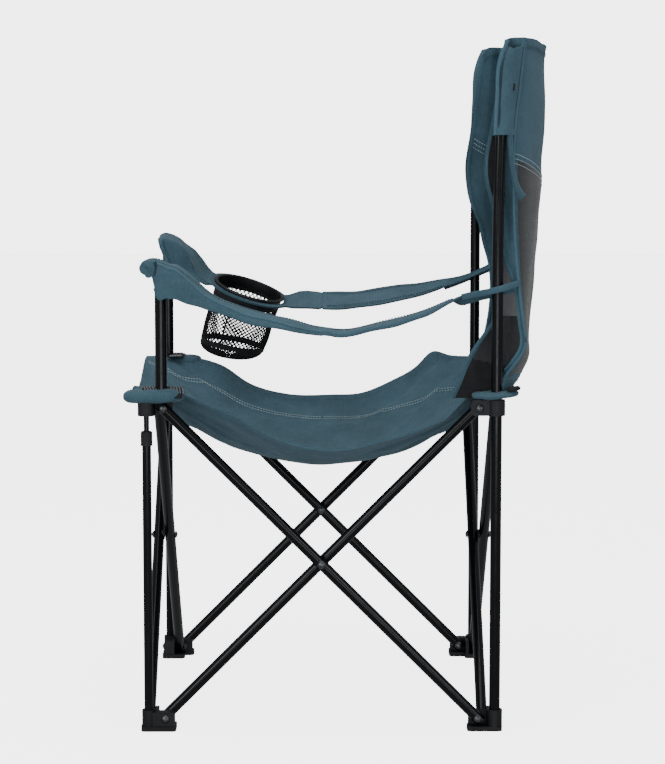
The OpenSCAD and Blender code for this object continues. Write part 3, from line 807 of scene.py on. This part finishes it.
# ---- The side gusset between the seat and the back ----

GUSSET_FRONT = profile([(486, 186), (492, 189), (509, 197), (531, 205), (552, 216), (580, 235), (606, 254)])
GUSSET_LOW = 487.0
GUSSET_HIGH = 606.0


def left_gusset():
    hub = "rear_hub_left"
    t, z = grid(np.linspace(0, 1, 30), np.linspace(GUSSET_LOW, GUSSET_HIGH, 44))
    front = GUSSET_FRONT(z)
    rear = np.maximum(front + 6, BACK_FOLD[1](z) - 7 + 6.5 * ramp(z, 575, 545))
    y = front + (rear - front) * t
    x = POST - 16 - 5 * np.sin(t * math.pi) * ramp(z, 500, 560) + 1.6 * waves(y, z, 60, 31)
    mid, high = cell_middles(t), cell_middles(z)
    # The front strip is fabric and the rest mesh, except the low part, where black cloth is painted shade for
    # the mesh in shadow.
    zones = np.where(mid < 0.06, 0, np.where(high < 545 - 14 * mid, 2, 1))
    panel = sheet_mesh("gusset_left", hub, np.stack([x, y, z], 2), CLOTH, BACK_CLOTHS_AND_SHADE, zones)
    line = [(POST - 16, GUSSET_FRONT(h), h) for h in np.linspace(GUSSET_LOW, GUSSET_HIGH, 30)]
    binding = tube("gusset_left_binding", hub, line, 3.4, BINDING, flat=0.6, up=(1, 0, 0))
    for piece in (panel, binding):
        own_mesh(piece)


# ---- Armrests ----

LEFT_TOP = profile([
    (-254, 686), (-250, 688), (-231, 687), (-220, 682), (-209, 680), (-196, 671), (-183, 659),
    (-168, 645), (-120, 621), (-55, 604), (0, 590), (30, 587), (82, 598), (150, 616), (201, 636),
    (240, 645), (282, 656),
])
LEFT_SKIRT = profile([
    (-254, 5), (-247, 10), (-242, 27), (-238, 46), (-221, 48), (-197, 42), (-174, 27), (-129, 17),
    (-89, 16), (-21, 9), (30, 6), (150, 5), (200, 1), (282, 1),
])
RIGHT_OUTER = profile([
    (-267, 696), (-262, 699), (-250, 698), (-236, 692), (-222, 680), (-201, 666), (-171, 640),
    (-140, 631), (-80, 615), (-34, 605), (36, 603), (115, 613), (155, 618), (195, 626), (238, 636),
    (282, 656),
])
RIGHT_INNER = profile([
    (-267, 640), (-255, 634), (-225, 616), (-203, 613), (-180, 608), (-58, 583), (35, 581), (114, 591),
    (153, 599), (192, 612), (238, 628), (282, 648),
])
CUP_BODY = "armrest_right_front_half"
ARM_HALF = 30.0
ARM_REAR = 281.0
STRAP_FROM = 95.0
STRAP_HALF = 7.0


def strap_share(y):
    """0 where the rear of an armrest is a band, 1 where it is a narrow strap beside the post."""
    return ramp(y, STRAP_FROM, 226)


def left_arm(c, y):
    """A point of the left armrest: c runs from 0 at the inner edge over the top and down to 1."""
    t = strap_share(y)
    half = ARM_HALF + (STRAP_HALF - ARM_HALF) * t
    middle = POST - 13 * t
    turn = 1.25 * ramp(t, 0.75, 1)
    skirt = LEFT_SKIRT(y)
    width = 2 * half + skirt
    run = c * width
    corner = 7 * (1 - t) * np.minimum(1, skirt / 14)
    over = np.clip(run / (2 * half), 0, 1) * 2 - 1
    down = np.maximum(0, run - 2 * half)
    soft = corner * bump(run, 2 * half, 9)
    x = middle + over * half * np.cos(turn) - soft * 0.35 + 1.5 * down / (skirt + 8)
    z = LEFT_TOP(y) + (over - 1) * half * np.sin(turn) - down - soft * 0.55
    z = z - 4.5 * (1 - t) * ramp(-over, 0.2, 1) ** 2
    puckers = 1.2 * bump(over, 0.1, 0.9) * np.sin(y / 14.0) * ramp(y, -150, -230)
    z = z + (1 - t) * (1.3 * waves(x * 1.6, y, 60, 41) + puckers)
    x = x + 1.8 * np.sin(y / 17.0) * np.clip(down / 30, 0, 1)
    return x, y, z


def right_band(x, y):
    """Height of the right armrest away from the ring; x is measured from the post's line, outwards.
    At the front it lies flat over the post's top and drops down the post's inner side."""
    t = strap_share(y)
    half = ARM_HALF + (STRAP_HALF - ARM_HALF) * t
    share = x / half / 2 + 0.5
    hood = ramp(-y, 186, 226)
    share = (1 - hood) * share + hood * (0.94 * ramp(x, -38.5, -31.5) + 0.06 * np.clip(share, 0, 1))
    low, high = RIGHT_INNER(y), RIGHT_OUTER(y)
    z = low + (high - low) * share
    hollow = 3 * (1 - hood) * (1 - (x / half) ** 2) * ramp(y, -60, -230)
    return z + (1 - t) * (1.3 * waves(x * 1.4, y, 60, 43) - hollow)


def left_arm_stitches(half, body, start, end):
    rows = []
    for c in (0.08, 0.12, 0.5):
        x, y, z = left_arm(np.full(60, c), np.linspace(start, end, 60))
        rows.append(np.stack([x, y, z + CLOTH / 2 + 0.8], 1))
    return stitch_mesh(f"armrest_{half}_left_stitches", body, rows, BINDING)


def left_armrest():
    halves = (
        ("front", -253.0, 0.0, 90, (0.088, 0.285)),
        ("rear", 0.0, ARM_REAR, 84, (0.045, 0.29)),
    )
    for half, start, end, steps, flat in halves:
        c, y = grid(np.linspace(0, 1, 40), np.linspace(start, end, steps))
        x, y, z = left_arm(c, y)
        thick = CLOTH + 1.5 * (c < 0.09) + 1.5 * (c > 0.92)
        body = f"armrest_left_{half}_half"
        cloth = sheet_mesh(f"armrest_{half}_left_cloth", body, np.stack([x, y, z], 2), thick)
        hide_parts(f"armrest_{half}_left")
        rows = left_arm_stitches(half, body, start + 12, min(end, 200) - 2)
        run = np.linspace(max(start + 14, -240), min(end, 190), 90)
        full = 2 * ARM_HALF + LEFT_SKIRT(run)
        rim = np.stack(left_arm((2 * ARM_HALF + 1.5) / full, run), 1) + (0.2, 0, 0)
        rim = tube(f"armrest_{half}_left_rim", body, rim, 1.5, HEM)
        low = np.stack(left_arm(np.full(90, 0.985), run), 1)
        low = tube(f"armrest_{half}_left_hem", body, low, 1.9, BINDING)
        trims = [rows, rim, low]
        if half == "front":
            # A dark cord between the roll and the panel: painted shade in the crease there.
            crease = [(POST + 29.0, -238 + 1.2 * math.sin(0.5 * k), 687 - 2.2 * k) for k in range(10)]
            trims.append(tube("armrest_front_left_crease_shadow", body, crease, 2.0, GROOVE_SHADE))
        finish_arm([cloth, *trims])


def finish_arm(pieces):
    """Gives each piece of an armrest's half its own copy of its mesh."""
    for piece in pieces:
        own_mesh(piece)


RING_CENTRE = np.array([-POST + 2, -120.0, 611.0])
RING_TURN = np.array(Matrix.Rotation(math.radians(11), 3, "Y") @ Matrix.Rotation(math.radians(-17), 3, "X"))
RING_AXIS = RING_TURN[:, 2]
CUP_R = 53.5
FLANGE_R = 59.5
PATCH_R = 66.0


def in_ring(points):
    """Points given in the ring's own frame, its axis up."""
    return RING_CENTRE + np.asarray(points, float) @ RING_TURN.T


def ring_plane(x, y, drop):
    off = RING_AXIS[0] * (x - RING_CENTRE[0]) + RING_AXIS[1] * (y - RING_CENTRE[1])
    return RING_CENTRE[2] - off / RING_AXIS[2] - drop


def right_front_armrest():
    ahead = math.tau * 0.75
    turn = np.concatenate([np.linspace(ahead - 0.29, ahead + 0.33, 74),
                           np.linspace(ahead + 0.33, ahead - 0.29 + math.tau, 122)[1:-1]])
    count = len(turn)
    dx, dy = np.cos(turn), np.sin(turn)
    to_end = np.where(dy > 0, -RING_CENTRE[1], RING_CENTRE[1] - ARM_FRONT + 3)
    to_end = to_end / np.maximum(1e-6, np.abs(dy))
    wide = 0
    for _ in range(3):
        to_side = (np.where(dx > 0, ARM_HALF - 2, ARM_HALF + 2) + wide) / np.maximum(1e-6, np.abs(dx))
        outer = np.maximum(PATCH_R, np.minimum(to_side, to_end))
        wide = 11 * ramp(-RING_CENTRE[1] - outer * dy, 190, 228) * (dx > 0)
    a, h = grid(np.arange(count), np.linspace(0, 1, 44))
    inner = CUP_R + 2.8
    r = inner + (outer[a] - inner) * h
    x = RING_CENTRE[0] + r * dx[a]
    y = RING_CENTRE[1] + r * dy[a]
    band = right_band(-x - POST, y)
    plane = ring_plane(x, y, 3.4)
    z = plane + (band - plane) * ramp(r, 60, 96)
    down = ramp(RIGHT_OUTER(y) - z, 4, 46) * ramp(-y, 190, 228)
    y = y + down * 13 * ramp(-y, 232, 264)
    x = x + down * 1.6 * np.sin(y / 5.5) * (1 - h**8)
    points = np.swapaxes(np.stack([x, y, z], 2)[::-1], 0, 1)
    edge = np.swapaxes(h[::-1], 0, 1)
    cloth = sheet_mesh("armrest_front_right_cloth", CUP_BODY, points, CLOTH + 1.5 * (edge > 0.95), wrap=True)
    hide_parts("armrest_front_right")
    rows = []
    for grow in (3.0, 5.5):
        ring = [((FLANGE_R + grow) * math.cos(b), (FLANGE_R + grow) * math.sin(b), -2.2)
                for b in np.linspace(0, math.tau, 80)]
        rows.append(in_ring(ring))
    stitches = stitch_mesh("armrest_front_right_stitches", CUP_BODY, rows, BINDING)
    finish_arm([cloth, stitches])


def right_rear_armrest():
    body = "armrest_right_rear_half"
    v, y = grid(np.linspace(-1, 1, 26), np.linspace(0, ARM_REAR, 84))
    t = strap_share(y)
    half = ARM_HALF + (STRAP_HALF - ARM_HALF) * t
    across = v * half
    z = right_band(across, y)
    x = -(POST - 13 * t) - across * np.cos(1.3 * ramp(t, 0.75, 1))
    thick = CLOTH + 1.5 * (np.abs(v) > 0.85)
    points = np.stack([x, y, z], 2)
    cloth = sheet_mesh("armrest_rear_right_cloth", body, points[::-1], thick)
    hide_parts("armrest_rear_right")
    sewn = (y[0] > 6) & (y[0] < 200)
    rows = [points[k][sewn] + (0, 0, CLOTH / 2 + 0.9) for k in (2, 4, 22)]
    stitches = stitch_mesh("armrest_rear_right_stitches", body, rows, BINDING)
    finish_arm([cloth, stitches])


def arm_roll(name, side):
    """The rolled end that tucks round the front of an armrest."""
    body = f"armrest_{name}_front_half"
    t = np.linspace(0, 1, 40)
    if side > 0:
        flat = 0.92
        roll = (POST - 29 + 57 * t, -249.8 + np.sin(t * 21), 677.6 + np.sin(t * 13 + 1))
        width = 11.0 - 1.6 * np.abs(t - 0.6) + 0.4 * np.sin(t * 31)
        tuck = (POST - 26 + 55 * t, -246.5 + 0.8 * np.sin(t * 17), 669.5 - 0.9 * np.sin(t * 15))
        tuck_width = 5.5 + 0.5 * np.sin(t * 19)
    else:
        flat = 0.8
        roll = (-POST + np.interp(t, [0, 0.42, 0.55, 1], [-27, 30, 37, 38]),
                np.interp(t, [0, 0.5, 0.75, 1], [-263, -263, -258, -249]),
                np.interp(t, [0, 0.42, 0.55, 1], [692, 694, 688, 650]))
        width = 3.6 + 0.5 * np.sin(t * 29)
        tuck = (-POST - 26 + 54 * t, -257 + 0.8 * np.sin(t * 17), 690 - 0.9 * np.sin(t * 15))
        tuck_width = 4.0 + 0.4 * np.sin(t * 19)
    for part, line, size in (("roll", roll, width), ("tuck", tuck, tuck_width)):
        line = np.stack(line, 1)
        piece = tube(f"armrest_{name}_{part}", body, line, size, FABRIC, sides=16, flat=flat)


def strap_loop(name, side, height):
    """The outer half of the loop that an armrest's strap makes round the rear post."""
    body = f"armrest_{name}_rear_half"
    line = profile([(198, -4), (222, 4), (238, 9.6), (252, 11), (264, 9.4), (274, 2), (283, -6)])
    y = np.linspace(200, 283, 46)
    points = np.stack([side * (POST + line(y)), y, height(y) - 1.5], 1)
    loop = tube(f"armrest_{name}_loop", body, points, 4.6, FABRIC, flat=0.22, up=(1, 0, 0), sides=12)
    finish_arm([loop])


# ---- Cup holder ----


def lathe(name, outline, material, steps=96):
    """Turns a closed outline of (radius, height) in the ring's frame."""
    verts, faces = [], []
    count = len(outline)
    for k in range(steps):
        a = math.tau * k / steps
        here, ahead = k * count, (k + 1) % steps * count
        for i, (r, h) in enumerate(outline):
            j = (i + 1) % count
            verts.append((r * math.cos(a), r * math.sin(a), h))
            faces.append((here + i, ahead + i, ahead + j, here + j))
    return new_piece(name, CUP_BODY, in_ring(verts), faces, (material,))


def arc(cx, cy, r, start, end, count=6):
    turns = [math.radians(start + (end - start) * k / count) for k in range(count + 1)]
    return [(cx + r * math.cos(a), cy + r * math.sin(a)) for a in turns]


def cup_ring():
    lip = FLANGE_R - 1.3
    outline = [
        *arc(lip, 0.1, 1.3, -90, 90),
        *arc(CUP_R + 2.2, 0.2, 2.2, 90, 180),
        (CUP_R, -9.0), (CUP_R + 0.6, -14.2),
        *arc(CUP_R + 1.5, -14.2, 0.8, 180, 360, 4),
        (CUP_R + 2.5, -9.0), (CUP_R + 2.5, -2.2),
        *arc(CUP_R + 3.5, -2.2, 1.0, 180, 90, 3),
    ]
    ring = lathe("cup_ring_moulded", outline, RING_PLASTIC)
    ring.data.set_sharp_from_angle(angle=math.radians(50))
    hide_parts("cup_ring")


NET_CELLS = 46
NET_TOP = -12.0
COLLAR = -20.0
BAND_TOP = -94.0
BAND_LOW = -103.0


def hang(points):
    """The pocket hangs a little straighter than its tilted ring. Points are in the ring's frame."""
    points = np.array(points, float)
    share = np.clip((NET_TOP - points[..., 2]) / (NET_TOP - BAND_LOW), 0, 1.1)
    points[..., 2] += share * (0.12 * points[..., 1] + 0.13 * points[..., 0])
    return in_ring(points)


def pocket_radius(h):
    return CUP_R + 1.2 - 3.4 * ((NET_TOP - h) / (NET_TOP - BAND_LOW)) ** 1.5 + 0.8 * np.sin((h + 12) / 14.0)


def net_piece(name, rings, strand=2.4):
    """A net of diamonds between rings of (radius, height); every other ring is turned half a cell."""
    verts, faces = [], []
    for i, (r, h) in enumerate(rings):
        for k in range(NET_CELLS):
            a = math.tau * (k + 0.5 * (i % 2)) / NET_CELLS
            wob = 1 + 0.006 * math.sin(a * 7 + h / 9)
            verts.append((r * wob * math.cos(a), r * wob * math.sin(a), h))
    for i in range(1, len(rings) - 1):
        above, here, below = ((i + d) * NET_CELLS for d in (-1, 0, 1))
        for k in range(NET_CELLS):
            between = (k + i % 2) % NET_CELLS
            faces.append((above + between, here + k, below + between, here + (k + 1) % NET_CELLS))
    piece = new_piece(name, CUP_BODY, hang(verts), faces, (NET,), smooth=False)
    wire = piece.modifiers.new("strands", "WIREFRAME")
    wire.thickness = strand * MM
    wire.use_even_offset = False
    wire.use_boundary = True
    return piece


def cup_pocket():
    side = [(pocket_radius(h), h) for h in np.linspace(COLLAR + 2, BAND_TOP - 2, 23)]
    walls = net_piece("cup_pocket_net", side)
    base = []
    for t in np.linspace(0, 1, 12):
        base.append((pocket_radius(BAND_LOW) * math.cos(t * 1.35), BAND_LOW + 2 - 21 * math.sin(t * 1.5)))
    bottom = net_piece("cup_pocket_base", base, 2.3)
    bands = []
    for part, top, low in (("collar", NET_TOP, COLLAR), ("band", BAND_TOP, BAND_LOW)):
        h, a = grid(np.linspace(top, low, 9), np.linspace(0, math.tau, 97)[:-1])
        r = pocket_radius(h) + 0.5 + 0.5 * np.sin(a * 9) * bump(h, low, 6)
        ring = hang(np.stack([r * np.cos(a), r * np.sin(a), h], 2))[:, ::-1]
        name = f"cup_pocket_{part}"
        bands.append(sheet_mesh(name, CUP_BODY, ring, 1.4, (WEBBING_AND_SHADE,), wrap=True))
    strip, angle = [], -0.42
    for level in np.linspace(NET_TOP, BAND_LOW + 4, 30):
        r = pocket_radius(level) + 0.9
        strip.append((r * math.cos(angle), r * math.sin(angle), level))
    seam = tube("cup_pocket_seam", CUP_BODY, hang(strip), 1.7, WEBBING_AND_SHADE, flat=0.6)
    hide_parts("cup_pocket")
    for piece in (walls, bottom, seam, *bands):
        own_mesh(piece)


# ---- Camera, floor and light ----


CAMERA_LENS = 112.95  # on Blender's own 36 mm sensor
CAMERA_PLACE = at(3683, -3, 891)
CAMERA_LOOK = Vector((-0.99395, 0.00497, -0.10978))


def aim(name, data, place, look):
    thing = bpy.data.objects.new(name, data)
    thing.location = place
    thing.rotation_euler = look.to_track_quat("-Z", "Y").to_euler()
    show(thing)
    return thing


def camera():
    data = bpy.data.cameras.new("camera")
    data.lens = CAMERA_LENS
    bpy.context.scene.camera = aim("camera", data, CAMERA_PLACE, CAMERA_LOOK)


def area_light(name, place, size, power, color):
    data = bpy.data.lights.new(name, "AREA")
    data.shape = "RECTANGLE"
    data.size, data.size_y = size
    data.energy = power
    data.color = color
    aim(name, data, place, Vector(LIT_POINT) - Vector(place))


BACKDROP = 4.6
AMBIENT = 0.42
AMBIENT_COLOR = (0.93, 0.97, 1.0, 1)
FLOOR_REACH = 12.0
LIT_POINT = (0, 0, 0.5)
WARM = (1.0, 1.0, 0.97)
COOL = (0.94, 0.98, 1.0)
LIGHTS = (
    ("top", (0.3, 0.0, 3.4), (2.4, 2.4), 50, WARM),
    ("front_left", (3.0, -2.4, 1.7), (1.4, 1.8), 52, COOL),
    ("low_left", (3.2, 0.2, 0.25), (2.2, 0.5), 16, COOL),
    ("rear_left", (2.6, 2.8, 1.6), (0.8, 1.8), 22, COOL),
)


def studio():
    """A pale glowing floor and a backdrop that light nothing, and four soft lights."""
    mesh = bpy.data.meshes.new("floor")
    corners = [(a * FLOOR_REACH, b * FLOOR_REACH, 0) for a, b in ((-1, -1), (1, -1), (1, 1), (-1, 1))]
    mesh.from_pydata(corners, [], [(0, 1, 2, 3)])
    floor = bpy.data.objects.new("floor", mesh)
    glow = {"Emission Color": (1, 1, 1, 1), "Emission Strength": BACKDROP * 0.85}
    paper = Nodes("paper", (0.9, 0.9, 0.9), 0.95, **glow)
    tone = paper.levels(paper.noise(3), 0.3, 0.7)
    paper.drive("Base Color", paper.mix(tone, (0.89, 0.89, 0.89), (0.92, 0.92, 0.92)))
    mesh.materials.append(paper.material)
    show(floor)
    floor.visible_diffuse = False
    floor.visible_glossy = False
    world = bpy.data.worlds.new("studio")
    world.use_nodes = True
    tree = world.node_tree
    ambient = tree.nodes["Background"]
    backdrop = tree.nodes.new("ShaderNodeBackground")
    for node, color, strength in ((ambient, AMBIENT_COLOR, AMBIENT), (backdrop, (1, 1, 1, 1), BACKDROP)):
        node.inputs["Color"].default_value = color
        node.inputs["Strength"].default_value = strength
    choose = tree.nodes.new("ShaderNodeMixShader")
    ray = tree.nodes.new("ShaderNodeLightPath")
    tree.links.new(ray.outputs["Is Camera Ray"], choose.inputs[0])
    tree.links.new(ambient.outputs[0], choose.inputs[1])
    tree.links.new(backdrop.outputs[0], choose.inputs[2])
    tree.links.new(choose.outputs[0], tree.nodes["World Output"].inputs["Surface"])
    bpy.context.scene.world = world
    for light in LIGHTS:
        area_light(*light)


def build():
    dress_cad()
    for corner, (sx, sy) in CORNERS.items():
        seat_quarter(corner, sx, sy)
        corner_pad(corner, sx, sy)
    for name, side in SIDES.items():
        back_half(name, side)
        arm_roll(name, side)
        strap_loop(name, side, LEFT_TOP if side > 0 else RIGHT_INNER)
    left_gusset()
    left_armrest()
    right_front_armrest()
    right_rear_armrest()
    cup_ring()
    cup_pocket()


camera()
studio()
build()
